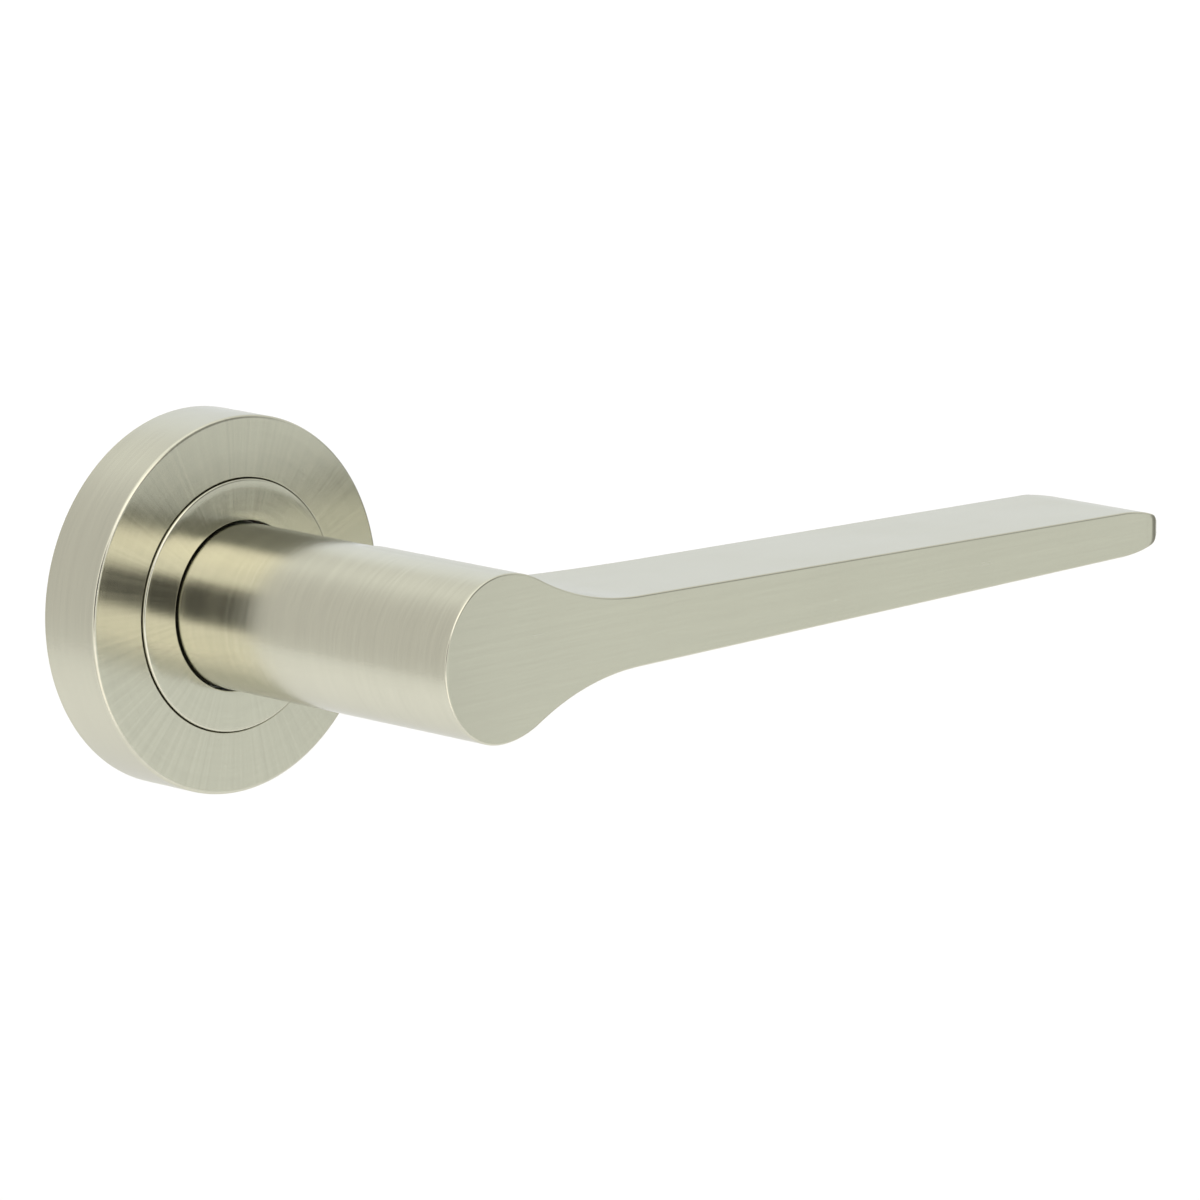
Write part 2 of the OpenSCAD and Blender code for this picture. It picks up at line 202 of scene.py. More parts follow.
class Graph:
    """Short calls for building a material's nodes."""

    def __init__(self, name):
        self.material = bpy.data.materials.new(name)
        self.material.use_nodes = True
        self.tree = self.material.node_tree
        self.tree.nodes.clear()
        self.shader = self.add("ShaderNodeBsdfPrincipled")
        output = self.add("ShaderNodeOutputMaterial")
        self.link(self.shader.outputs[0], output.inputs[0])
        self.place = self.add("ShaderNodeTexCoord").outputs["Object"]

    def add(self, kind, **settings):
        node = self.tree.nodes.new(kind)
        for key, value in settings.items():
            setattr(node, key, value)
        return node

    def link(self, source, target):
        self.tree.links.new(source, target)

    def set(self, **values):
        for key, value in values.items():
            self.shader.inputs[key.replace("_", " ")].default_value = value

    def vector(self, operation, first, second=None):
        node = self.add("ShaderNodeVectorMath", operation=operation)
        for socket, value in zip(node.inputs, (first, second)):
            if value is None:
                continue
            if isinstance(value, (tuple, list)):
                socket.default_value = value
            else:
                self.link(value, socket)
        return node.outputs["Value"] if operation in ("LENGTH", "DOT_PRODUCT") else node.outputs[0]

    def math(self, operation, first, second=None):
        node = self.add("ShaderNodeMath", operation=operation)
        for socket, value in zip(node.inputs, (first, second)):
            if value is None:
                continue
            if isinstance(value, (int, float)):
                socket.default_value = value
            else:
                self.link(value, socket)
        return node.outputs[0]

    def turned_with_piece(self, direction):
        """A direction on the piece as it stands in the room, so that the grain follows a joint."""
        node = self.add("ShaderNodeVectorTransform", vector_type="VECTOR")
        node.convert_from = "OBJECT"
        node.convert_to = "WORLD"
        if isinstance(direction, tuple):
            node.inputs[0].default_value = direction
        else:
            self.link(direction, node.inputs[0])
        return node.outputs[0]

    def noise(self, place, scale, detail=3.0, roughness=0.6):
        node = self.add("ShaderNodeTexNoise")
        node.inputs["Scale"].default_value = scale
        node.inputs["Detail"].default_value = detail
        node.inputs["Roughness"].default_value = roughness
        self.link(place, node.inputs["Vector"])
        return node.outputs[0]

    def ramp(self, value, low, high, low_at=0.3, high_at=0.7):
        node = self.add("ShaderNodeMapRange")
        self.link(value, node.inputs["Value"])
        for key, number in (("From Min", low_at), ("From Max", high_at), ("To Min", low), ("To Max", high)):
            node.inputs[key].default_value = number
        return node.outputs[0]

    def colour(self, value, low, high):
        node = self.add("ShaderNodeMix", data_type="RGBA")
        factor, first, second, result = node.inputs[0], node.inputs[6], node.inputs[7], node.outputs[2]
        self.link(value, factor)
        first.default_value = (*low, 1)
        second.default_value = (*high, 1)
        self.link(result, self.shader.inputs["Base Color"])

    def bump(self, height, strength, distance):
        node = self.add("ShaderNodeBump")
        node.inputs["Strength"].default_value = strength
        node.inputs["Distance"].default_value = distance
        self.link(height, node.inputs["Height"])
        self.link(node.outputs[0], self.shader.inputs["Normal"])


NICKEL = (0.640, 0.630, 0.525)
EDGE_TINT = (0.80, 0.80, 0.80, 1)
STREAK_ALONG = 0.012        # how fast the noise changes along a blade's grain, next to across it
STREAK_ROUND = 0.00035      # the circle in the noise, in metres, that a turned groove runs round once


def brushed_nickel(name, grain, roughness=0.18, spread=0.03, depth=0.10, painted_shade=1.0):
    """Satin nickel. grain is 'ring' on a turned face, 'round' on a turned neck, or 'long' along a blade.
    The last argument scales the base colour; below 1 it paints the piece darker, as painted shade.
    """
    g = Graph(name)
    split = g.add("ShaderNodeSeparateXYZ")
    g.link(g.place, split.inputs[0])
    x, y, z = split.outputs
    joined = g.add("ShaderNodeCombineXYZ")
    if grain == "long":
        before_sweep = g.math("MAXIMUM", g.math("SUBTRACT", SWEEP_FROM * MM, x), 0.0)
        swept = g.math("DIVIDE", g.math("MULTIPLY", before_sweep, before_sweep), 2 * SWEEP_R * MM)
        g.link(g.math("MULTIPLY", x, STREAK_ALONG), joined.inputs[0])
        g.link(g.math("ADD", y, swept), joined.inputs[1])
        g.link(z, joined.inputs[2])
        groove = (1, 0, 0)
    else:
        flat = g.vector("MULTIPLY", g.place, (1, 0, 1))
        radius = g.vector("LENGTH", flat)
        direction = g.vector("NORMALIZE", flat)
        drawn = g.vector("SCALE", direction)
        drawn.node.inputs["Scale"].default_value = STREAK_ROUND
        turned = g.add("ShaderNodeSeparateXYZ")
        g.link(drawn, turned.inputs[0])
        g.link(turned.outputs[0], joined.inputs[0])
        g.link(g.math("ADD", y, radius) if grain == "ring" else y, joined.inputs[1])
        g.link(turned.outputs[2], joined.inputs[2])
        groove = g.vector("CROSS_PRODUCT", (0, 1, 0), direction)
    normal = g.add("ShaderNodeNewGeometry").outputs["Normal"]
    across_grain = g.vector("CROSS_PRODUCT", g.turned_with_piece(groove), normal)
    place = joined.outputs[0]
    fine = g.noise(place, 9000, 4, 0.65)
    broad = g.noise(place, 1400, 3, 0.6)
    wear = g.noise(g.place, 60, 4, 0.55)
    mixed = g.math("ADD", g.math("MULTIPLY", fine, 0.6), g.math("MULTIPLY", broad, 0.4))
    tone = mixed
    # On a turned face the tone also gets lighter and darker radial streaks by angle. They are partly the
    # grain's own tone and partly painted sheen, standing in for the radial highlight streaks that turned
    # grooves throw.
    if grain == "ring":
        facing = g.math("ABSOLUTE", g.vector("DOT_PRODUCT", normal, (0, 1, 0)))
        fan_grain_and_sheen = g.math("MULTIPLY", g.math("SUBTRACT", g.noise(direction, 26, 5, 0.8), 0.5), facing)
        radial_grain_and_sheen = g.math("ADD", g.math("MULTIPLY", fan_grain_and_sheen, 0.6), 0.3)
        tone = g.math("ADD", g.math("MULTIPLY", mixed, 0.4), radial_grain_and_sheen)
    # Below 1 the last argument makes this a darker copy of the same nickel: painted shade.
    low = tuple(c * (painted_shade - spread) for c in NICKEL)
    high = tuple(c * (painted_shade + spread) for c in NICKEL)
    g.colour(g.ramp(tone, 0, 1, 0.35, 0.65), low, high)
    streaks = g.ramp(tone, roughness - 0.03, roughness + 0.03, 0.35, 0.65)
    g.link(g.math("ADD", streaks, g.ramp(wear, -0.02, 0.03)), g.shader.inputs["Roughness"])
    g.set(Metallic=1.0, Anisotropic=0.7, Specular_Tint=EDGE_TINT)
    g.link(across_grain, g.shader.inputs["Tangent"])
    g.bump(mixed, depth, 0.00002)
    return g.material


def cast_zinc(name):
    g = Graph(name)
    grain = g.noise(g.place, 2600, 5, 0.7)
    flow = g.noise(g.place, 160, 4, 0.6)
    g.colour(g.ramp(flow, 0, 1), (0.42, 0.42, 0.41), (0.56, 0.56, 0.55))
    g.link(g.ramp(grain, 0.48, 0.66), g.shader.inputs["Roughness"])
    g.set(Metallic=0.9)
    g.bump(grain, 0.35, 0.00006)
    return g.material


def plated_steel(name, low, high, roughness):
    g = Graph(name)
    rolled = g.vector("MULTIPLY", g.place, (0.15, 1, 1))
    lines = g.noise(rolled, 5200, 3, 0.6)
    cloud = g.noise(g.place, 220, 4, 0.6)
    g.colour(g.ramp(cloud, 0, 1), low, high)
    g.link(g.ramp(lines, roughness - 0.06, roughness + 0.08), g.shader.inputs["Roughness"])
    g.set(Metallic=1.0)
    g.bump(lines, 0.2, 0.00002)
    return g.material


def drawn_wire(name):
    g = Graph(name)
    lines = g.noise(g.place, 3800, 4, 0.7)
    g.colour(g.ramp(lines, 0, 1), (0.16, 0.16, 0.17), (0.32, 0.32, 0.33))
    g.link(g.ramp(lines, 0.28, 0.44), g.shader.inputs["Roughness"])
    g.set(Metallic=1.0)
    g.bump(lines, 0.2, 0.00002)
    return g.material


def black_oxide(name):
    g = Graph(name)
    grain = g.noise(g.place, 3000, 4, 0.65)
    worn = g.noise(g.place, 420, 3, 0.6)
    g.colour(g.ramp(worn, 0, 1), (0.020, 0.020, 0.023), (0.060, 0.060, 0.066))
    g.link(g.ramp(grain, 0.36, 0.52), g.shader.inputs["Roughness"])
    g.set(Metallic=0.85)
    g.bump(grain, 0.25, 0.00003)
    return g.material


def turned_brass(name):
    g = Graph(name)
    turned = g.vector("MULTIPLY", g.place, (0.05, 1, 0.05))
    rings = g.noise(turned, 7000, 3, 0.6)
    tone = g.noise(g.place, 300, 4, 0.6)
    g.colour(g.ramp(tone, 0, 1), (0.66, 0.48, 0.20), (0.82, 0.63, 0.30))
    g.link(g.ramp(rings, 0.22, 0.38), g.shader.inputs["Roughness"])
    g.set(Metallic=1.0)
    g.bump(rings, 0.3, 0.00003)
    return g.material


def moulded_nylon(name):
    g = Graph(name)
    grain = g.noise(g.place, 2400, 4, 0.6)
    cloud = g.noise(g.place, 260, 3, 0.6)
    g.colour(g.ramp(cloud, 0, 1), (0.80, 0.79, 0.73), (0.88, 0.87, 0.82))
    g.link(g.ramp(grain, 0.42, 0.56), g.shader.inputs["Roughness"])
    g.set(Subsurface_Weight=0.15, Subsurface_Scale=0.002)
    g.bump(grain, 0.2, 0.00003)
    return g.material


def nitrile_rubber(name):
    g = Graph(name)
    grain = g.noise(g.place, 3200, 4, 0.7)
    dust = g.noise(g.place, 500, 4, 0.6)
    g.colour(g.ramp(dust, 0, 1), (0.018, 0.018, 0.018), (0.045, 0.045, 0.044))
    g.link(g.ramp(grain, 0.55, 0.75), g.shader.inputs["Roughness"])
    g.bump(grain, 0.3, 0.00004)
    return g.material


# The cover and the collar are this nickel painted 2% darker than the lever's, as painted shade.
cover_nickel = brushed_nickel("nickel_cover_brushed", "ring", roughness=0.22, spread=0.09, painted_shade=0.98)
collar_nickel = brushed_nickel("nickel_collar_brushed", "ring", roughness=0.17, spread=0.07, painted_shade=0.98)
neck_nickel = brushed_nickel("nickel_neck_brushed", "round", roughness=0.17, spread=0.045, depth=0.14)
blade_nickel = brushed_nickel("nickel_blade_brushed", "long", roughness=0.22, spread=0.04, depth=0.08)
zinc = cast_zinc("cast_zinc")
plated = plated_steel("zinc_plated_steel", (0.58, 0.60, 0.63), (0.72, 0.73, 0.74), 0.30)
bar_steel = plated_steel("drawn_steel_bar", (0.36, 0.37, 0.38), (0.52, 0.52, 0.53), 0.36)
wire_steel = drawn_wire("spring_wire")
oxide = black_oxide("black_oxide")
brass = turned_brass("turned_brass")
nylon = moulded_nylon("moulded_nylon")
rubber = nitrile_rubber("nitrile_rubber")


# ---------------------------------------------------------------- the lever

def soft_step(value):
    t = min(1.0, max(0.0, value))
    return t * t * (3 - 2 * t)


# The blade seen from the front: half its height falls along its length, a shoulder rolls off the
# neck, a hollow leads into the taper, and the tip is half an ellipse.
BLADE_FRONT = 61.0
BLADE_DEPTH = 20.1
BLADE_HALF = 5.3
BLADE_TAPER = 0.017
SHOULDER_R = 15.5
HOLLOW_R = 43.0
TIP_LENGTH = 9.5
TIP_CORNER_R = 3.0
TIP_BACK_R = 10.5
FLARE_REACH = 35.0
FLARE_DEPTH = 6.8
BLADE_BACK = BLADE_FRONT - BLADE_DEPTH
FLARE_FOOT = BLADE_BACK - FLARE_DEPTH
TIP_X = REACH - TIP_LENGTH
TIP_HALF = BLADE_HALF - BLADE_TAPER * TIP_X
TAPER_END = REACH - TIP_BACK_R - 2.5    # the outline's points stand still up to here, at every depth
FRONT_EDGE_R = 0.3
BACK_EDGE_R = 0.6
TIP_CREASE = 0.7        # how far the corner between the tip's curve and its end is eased
TIP_CURVE_STEPS = 24
TIP_CREASE_STEPS = 6
TIP_END_STEPS = 3
EDGE_GROWTH = 2.5       # how far from the neck the blade's back edge reaches its full radius
NECK_EASE = 0.2         # how far the neck's rear edge is eased
GRUB_MARGIN = 4.0       # plain neck on each side of the grub screw's axis
SHANK_GAP = 0.02        # the shank ends this far behind the shoulder, so that no two faces coincide
MERGE = 0.005           # corners of the CAD mesh nearer than this are one corner


def tip_half_height(x):
    """Half the blade's height at x, on the taper or on the tip's ellipse."""
    if x <= TIP_X:
        return BLADE_HALF - BLADE_TAPER * x
    along = min(1.0, (x - TIP_X) / TIP_LENGTH)
    return TIP_HALF * math.sqrt(max(0.0, 1 - along * along))


def tip_edge(limit):
    """The upper edge past TAPER_END, ended by an upright line at x = limit, with the corner eased."""
    corner_z = tip_half_height(limit)
    ease = min(TIP_CREASE, corner_z)
    last = limit - ease
    line = []
    for i in range(1, TIP_CURVE_STEPS + 1):
        share = math.sin(math.radians(90 * i / TIP_CURVE_STEPS))
        x = TAPER_END + (last - TAPER_END) * share
        line.append((x, tip_half_height(x)))
    start, end = line[-1], (limit, corner_z - ease)
    for i in range(1, TIP_CREASE_STEPS + 1):
        t = i / TIP_CREASE_STEPS
        x = (1 - t) ** 2 * start[0] + 2 * t * (1 - t) * limit + t * t * limit
        z = (1 - t) ** 2 * start[1] + 2 * t * (1 - t) * corner_z + t * t * end[1]
        line.append((x, z))
    for i in range(1, TIP_END_STEPS + 1):
        line.append((limit, end[1] * (1 - i / TIP_END_STEPS)))
    return line


def fixed_edge():
    """The upper edge from the top of the neck to TAPER_END, as (x, z) pairs."""
    slope = math.hypot(1, BLADE_TAPER)
    shoulder_z = NECK_R - SHOULDER_R
    rise = BLADE_HALF + HOLLOW_R * slope - shoulder_z
    under = (rise * BLADE_TAPER) ** 2 - slope ** 2 * (rise ** 2 - (SHOULDER_R + HOLLOW_R) ** 2)
    hollow_x = (rise * BLADE_TAPER + math.sqrt(under)) / slope ** 2
    hollow_z = rise - BLADE_TAPER * hollow_x + shoulder_z
    turn = math.degrees(math.atan2(hollow_z - shoulder_z, hollow_x))
    level = 270 - math.degrees(math.atan(BLADE_TAPER))
    shoulder = arc((0, shoulder_z), SHOULDER_R, 90, turn, 16)
    hollow = arc((hollow_x, hollow_z), HOLLOW_R, turn + 180, level, 26)[1:]
    start_x = hollow[-1][0]
    steps = 40
    taper = []
    for i in range(1, steps + 1):
        x = start_x + (TAPER_END - start_x) * i / steps
        taper.append((x, BLADE_HALF - BLADE_TAPER * x))
    return shoulder + hollow + taper


def corner_limit(depth_in, corner_r):
    """Where the tip ends, at a depth in from the face that has this corner radius."""
    if depth_in >= corner_r:
        return REACH
    return REACH - corner_r + math.sqrt(corner_r ** 2 - (corner_r - depth_in) ** 2)


def front_out(x):
    """How far from the door the front face is at x."""
    if x >= SWEEP_FROM:
        return BLADE_FRONT
    return BLADE_FRONT + SWEEP_R - math.sqrt(SWEEP_R ** 2 - (SWEEP_FROM - x) ** 2)


def flare_out(x, z):
    """How far from the door the back of the blade is at (x, z)."""
    beyond = max(0.0, math.hypot(x, z) - NECK_R)
    if beyond >= FLARE_REACH:
        return BLADE_BACK
    across = 1 - beyond / FLARE_REACH
    return BLADE_BACK - FLARE_DEPTH * (1 - math.sqrt(max(0.0, 1 - across * across)))


def outline_normals(points):
    """Outward directions of a closed outline that runs anticlockwise."""
    normals = []
    count = len(points)
    for i in range(count):
        before, after = points[i - 1], points[(i + 1) % count]
        dx, dz = after[0] - before[0], after[1] - before[1]
        length = math.hypot(dx, dz)
        if length < 1e-9:
            normals.append((1.0, 0.0))
        else:
            normals.append((dz / length, -dx / length))
    return normals


LEFT_STEPS = 90
ARC_STEPS = 28
BLADE_EDGE = fixed_edge()


def outline_at(depth_in, corner_r=TIP_CORNER_R):
    """The whole outline, anticlockwise from the top of the neck, at a depth in from a face."""
    left = []
    for i in range(1, LEFT_STEPS):
        a = math.radians(90 + 180 * i / LEFT_STEPS)
        left.append((NECK_R * math.cos(a), NECK_R * math.sin(a)))
    upper = BLADE_EDGE + tip_edge(corner_limit(depth_in, corner_r))
    lower = [(x, -z) for x, z in upper]
    return [upper[0]] + left + lower + upper[-2:0:-1]


def lever_body():
    """Neck and blade as one closed skin, down to the shoulder behind the neck."""
    shell = Shell()
    outline = outline_at(TIP_CORNER_R)
    count = len(outline)
    first_lower = LEFT_STEPS
    tip_index = first_lower + len(BLADE_EDGE) + TIP_CURVE_STEPS + TIP_CREASE_STEPS + TIP_END_STEPS - 1
    end_first = tip_index - TIP_END_STEPS
    crease_first = end_first - TIP_CREASE_STEPS
    ON_NECK, ON_BLADE = 0, 1

    def mark_of(k):
        return ON_NECK if k < first_lower else ON_BLADE

    def mirror(k):
        return (first_lower - k) % count

    front_depths = [TIP_CORNER_R * (1 - math.sin(math.radians(a))) for a in range(0, 60, 10)]
    back_depths = [TIP_BACK_R * (1 - math.sin(math.radians(a))) for a in range(60, -1, -6)]

    def front_row(edge_deg):
        """A row on the rounded front edge; 0 degrees is on the side, 90 on the front face."""
        row = []
        a = math.radians(edge_deg)
        inward = FRONT_EDGE_R * (1 - math.cos(a))
        depth_in = FRONT_EDGE_R * (1 - math.sin(a))
        section = outline_at(depth_in)
        for (x, z), (nx, nz) in zip(section, outline_normals(section)):
            if x >= section[tip_index][0] - 1e-6:
                nx, nz = 0.0, 0.0
            px = x - nx * inward
            row.append(shell.point(px, front_out(px) - depth_in, z - nz * inward))
        return row

    def side_row(depth_in):
        return [shell.point(x, front_out(x) - depth_in, z) for x, z in outline_at(depth_in)]

    edge_rows = [front_row(a) for a in (0, 15, 30, 45, 60, 75, 90)]
    side_rows = [side_row(d) for d in front_depths if d > FRONT_EDGE_R * 1.1]
    rows = side_rows + edge_rows
    for i in range(len(rows) - 1):
        for k in range(count):
            j = (k + 1) % count
            shell.face([rows[i][k], rows[i][j], rows[i + 1][j], rows[i + 1][k]], mark_of(k))

    # The front face: upright strips between points that mirror each other, and one face at the tip.
    front = edge_rows[-1]
    for k in range(first_lower, end_first - 1):
        shell.face([front[k], front[k + 1], front[mirror(k + 1)], front[mirror(k)]], ON_BLADE)
    shell.face([front[k] for k in range(end_first - 1, mirror(end_first - 1) + 1)], ON_BLADE)
    for k in range(0, first_lower // 2):
        shell.face([front[k], front[k + 1], front[mirror(k + 1)], front[mirror(k)]], ON_BLADE)

    # The back edge, on the blade's part of the outline only. It is sharp where the neck starts.
    blade_points = list(range(first_lower, count)) + [0]

    def back_r(x, z):
        return BACK_EDGE_R * soft_step((math.hypot(x, z) - NECK_R) / EDGE_GROWTH)

    def back_row(edge_deg):
        """A row on the rounded back edge; 0 degrees is on the side, 90 on the back."""
        row = {}
        a = math.radians(edge_deg)
        section = outline_at(BACK_EDGE_R * (1 - math.sin(a)), TIP_BACK_R)
        normals = outline_normals(section)
        for k in blade_points:
            (x, z), (nx, nz) = section[k], normals[k]
            r = back_r(x, z)
            if x >= section[tip_index][0] - 1e-6:
                nx, nz = 0.0, 0.0
            inward = r * (1 - math.cos(a))
            foot = flare_out(x - nx * r, z - nz * r)
            row[k] = shell.point(x - nx * inward, foot + r * (1 - math.sin(a)), z - nz * inward)
        return row

    def back_side_row(depth_in):
        row = {}
        section = outline_at(depth_in, TIP_BACK_R)
        normals = outline_normals(section)
        share = (depth_in - BACK_EDGE_R) / (TIP_BACK_R - BACK_EDGE_R)
        for k in blade_points:
            (x, z), (nx, nz) = section[k], normals[k]
            r = back_r(x, z)
            low = flare_out(x - nx * r, z - nz * r) + r
            row[k] = shell.point(x, low + (BLADE_BACK + TIP_BACK_R - low) * share, z)
        return row

    back_rows = [back_row(a) for a in (90, 75, 60, 45, 30, 15, 0)]
    back_side = [back_side_row(d) for d in back_depths if d > BACK_EDGE_R * 1.1]
    stack = back_rows + back_side
    for i in range(len(stack) - 1):
        for a, b in zip(blade_points[:-1], blade_points[1:]):
            shell.face([stack[i][a], stack[i][b], stack[i + 1][b], stack[i + 1][a]], ON_BLADE)
    for a, b in zip(blade_points[:-1], blade_points[1:]):
        shell.face([stack[-1][a], stack[-1][b], rows[0][b], rows[0][a]], ON_BLADE)

    # The back face: arcs about the neck's axis on the flare, upright lines beyond it, one face at the tip.
    inner = back_rows[0]

    def back_arc(k):
        """The arc across the back from the lower point k to its mirror point above."""
        corner = shell.points[inner[k]] / MM
        radius = math.hypot(corner.x, corner.z)
        half = math.atan2(-corner.z, corner.x)
        row = [inner[k]]
        for i in range(1, ARC_STEPS):
            a = -half + 2 * half * i / ARC_STEPS
            px, pz = radius * math.cos(a), radius * math.sin(a)
            if corner.x > NECK_R + FLARE_REACH:
                px = corner.x
            row.append(shell.point(px, flare_out(px, pz), pz))
        row.append(inner[mirror(k)])
        return row

    arcs = [back_arc(k) for k in range(first_lower, crease_first + 1)]
    for first, second in zip(arcs[:-1], arcs[1:]):
        shell.strip(first, second, ON_BLADE)
    round_the_tip = [inner[k] for k in range(crease_first + 1, mirror(crease_first + 1) + 1)]
    shell.face(round_the_tip + arcs[-1][::-1], ON_BLADE)

    # The neck: a full ring where the flare ends, and rings down to the shoulder behind it.
    ring_angles = [-90 + 180 * i / ARC_STEPS for i in range(ARC_STEPS)]
    ring_angles += [90 + 180 * i / LEFT_STEPS for i in range(LEFT_STEPS)]

    def neck_ring(out, radius=NECK_R):
        turns = [math.radians(a) for a in ring_angles]
        return [shell.point(radius * math.cos(a), out, radius * math.sin(a)) for a in turns]

    ring_outs = (FLARE_FOOT, GRUB_OUT + GRUB_MARGIN, GRUB_OUT - GRUB_MARGIN, NECK_BACK + NECK_EASE)
    rings = [neck_ring(out) for out in ring_outs]
    rings.append(neck_ring(NECK_BACK + 0.3 * NECK_EASE, NECK_R - 0.3 * NECK_EASE))
    rings.append(neck_ring(NECK_BACK, NECK_R - NECK_EASE))
    for first, second in zip(rings[:-1], rings[1:]):
        shell.strip(first, second, ON_NECK, closed=True)
    centre = shell.point(0, NECK_BACK, 0)
    shell.strip(rings[-1], [centre] * len(rings[-1]), ON_NECK, closed=True)
    # The left side of the neck, from its ring up to the first row under the front edge. Its first and
    # last faces take in the corners of the blade's side beside them.
    for k in range(LEFT_STEPS):
        low, low_next = rings[0][ARC_STEPS + k], rings[0][(ARC_STEPS + k + 1) % len(rings[0])]
        up = [row[first_lower] for row in back_side] if k == LEFT_STEPS - 1 else []
        down = [row[0] for row in back_side[::-1]] if k == 0 else []
        shell.face([low, low_next] + up + [rows[0][k + 1], rows[0][k]] + down, ON_NECK)
    return shell.build("lever_skin", [neck_nickel, blade_nickel])


def lever_shank():
    """The turned end of the lever behind its neck: the CAD shape, cut off just behind the shoulder."""
    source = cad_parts["lever"]
    work = bmesh.new()
    work.from_mesh(source.data)
    bmesh.ops.remove_doubles(work, verts=work.verts, dist=MERGE * MM)
    cut_y = -(NECK_BACK - SHANK_GAP) * MM
    bmesh.ops.bisect_plane(
        work,
        geom=list(work.verts) + list(work.edges) + list(work.faces),
        plane_co=(0, cut_y, 0),
        plane_no=(0, -1, 0),
        clear_outer=True,
    )
    cut_edges = [e for e in work.edges if len(e.link_faces) == 1 and abs(e.verts[0].co.y - cut_y) < 1e-6]
    bmesh.ops.triangle_fill(work, edges=cut_edges, use_beauty=True)
    bmesh.ops.recalc_face_normals(work, faces=work.faces)
    mesh = bpy.data.meshes.new("lever_shank")
    work.to_mesh(mesh)
    work.free()
    mesh.materials.clear()
    mesh.materials.append(zinc)
    piece = bpy.data.objects.new("lever_shank", mesh)
    bpy.context.scene.collection.objects.link(piece)
    return piece


GRUB_HOLE_R = 2.55
GRUB_HOLE_TOP = -5
GRUB_HOLE_BOTTOM = -14
GRUB_HOLE_STEPS = 64


def drill_grub_hole(piece):
    """The round hole for the grub screw, up into the neck from below."""
    work = bmesh.new()
    bmesh.ops.create_cone(
        work,
        cap_ends=True,
        segments=GRUB_HOLE_STEPS,
        radius1=GRUB_HOLE_R * MM,
        radius2=GRUB_HOLE_R * MM,
        depth=(GRUB_HOLE_TOP - GRUB_HOLE_BOTTOM) * MM,
        matrix=Matrix.Rotation(math.pi / GRUB_HOLE_STEPS, 4, "Z"),
    )
    middle = to_frame(0, GRUB_OUT, (GRUB_HOLE_TOP + GRUB_HOLE_BOTTOM) / 2)
    bmesh.ops.translate(work, verts=work.verts, vec=middle)
    subtract(piece, work, "grub_hole")


skin = lever_body()
drill_grub_hole(skin)
smooth(skin)
shank = lever_shank()
smooth(shank, crease_deg=30)
for piece in (skin, shank):
    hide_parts("lever")
    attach(piece, LEVER)


# ---------------------------------------------------------------- the rose

COVER_WALL = 1.2
COVER_EDGE_R = 0.5
COVER_HOLE_EDGE_R = 0.12
COVER_REAR_EASE = 0.15
COVER_INNER_EASE = 0.1
COVER_INNER_CORNER = 0.3
COLLAR_EDGE_R = 0.3
COLLAR_HOLE_EDGE_R = 0.15
COLLAR_SKIRT = 0.9
COLLAR_FACE = 1.05
NECK_GAP = 0.3
SLOT_WIDTH = 6.0
SLOT_DEPTH = 1.2
SLOT_HEIGHT = 3.0


def cover_profile():
    """The cover's section: the rear rim, the side, the front edge, the face, the hole and the inside."""
    inner_r = ROSE_R - COVER_WALL
    edge_r = ROSE_R - COVER_EDGE_R
    inside_out = ROSE_H - COVER_WALL
    rear = [
        (inner_r, COVER_INNER_EASE),
        (inner_r + COVER_INNER_EASE, 0.0),
        (ROSE_R - COVER_REAR_EASE, 0.0),
        (ROSE_R, COVER_REAR_EASE),
    ]
    side = [(ROSE_R, ROSE_H - COVER_EDGE_R - 3)]
    edge = arc((edge_r, ROSE_H - COVER_EDGE_R), COVER_EDGE_R, 0, 90, 10)
    face = [(edge_r - step, ROSE_H) for step in (1.5, 3.5, 5.5)]
    hole_centre = (COVER_HOLE_R + COVER_HOLE_EDGE_R, ROSE_H - COVER_HOLE_EDGE_R)
    hole = arc(hole_centre, COVER_HOLE_EDGE_R, 90, 180, 5)
    inside = [
        (COVER_HOLE_R, inside_out),
        (inner_r - COVER_INNER_CORNER, inside_out),
        (inner_r, inside_out - COVER_INNER_CORNER),
    ]
    return rear + side + edge + face + hole + inside


def collar_profile():
    """The collar's section: the skirt, the front edge, the face, the neck's hole and the face's back."""
    skirt_back = collar_low[1]
    skirt_r = COLLAR_R - COLLAR_SKIRT
    edge_r = COLLAR_R - COLLAR_EDGE_R
    hole_r = NECK_R + NECK_GAP
    face_back = ROSE_H - COLLAR_FACE
    skirt = [(skirt_r, skirt_back), (COLLAR_R, skirt_back)]
    edge = arc((edge_r, COLLAR_FRONT - COLLAR_EDGE_R), COLLAR_EDGE_R, 0, 90, 6)
    face = [(edge_r - step, COLLAR_FRONT) for step in (1.0, 2.5, 4.0)]
    hole_centre = (hole_r + COLLAR_HOLE_EDGE_R, COLLAR_FRONT - COLLAR_HOLE_EDGE_R)
    hole = arc(hole_centre, COLLAR_HOLE_EDGE_R, 90, 180, 5)
    return skirt + edge + face + hole + [(hole_r, face_back), (skirt_r, face_back)]


def cut_pry_slot(piece):
    """The slot in the cover's rear rim, at the bottom, that a screwdriver lifts it by."""
    work = bmesh.new()
    bmesh.ops.create_cube(work, size=1)
    bmesh.ops.scale(work, verts=work.verts, vec=(SLOT_WIDTH * MM, 2 * SLOT_DEPTH * MM, SLOT_HEIGHT * MM))
    bmesh.ops.translate(work, verts=work.verts, vec=to_frame(0, 0, -ROSE_R + 0.2))
    subtract(piece, work, "pry_slot")


cover = lathe("rose_cover_turned", cover_profile(), cover_nickel)
cut_pry_slot(cover)
smooth(cover)
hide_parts("rose_cover")
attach(cover, COVER)

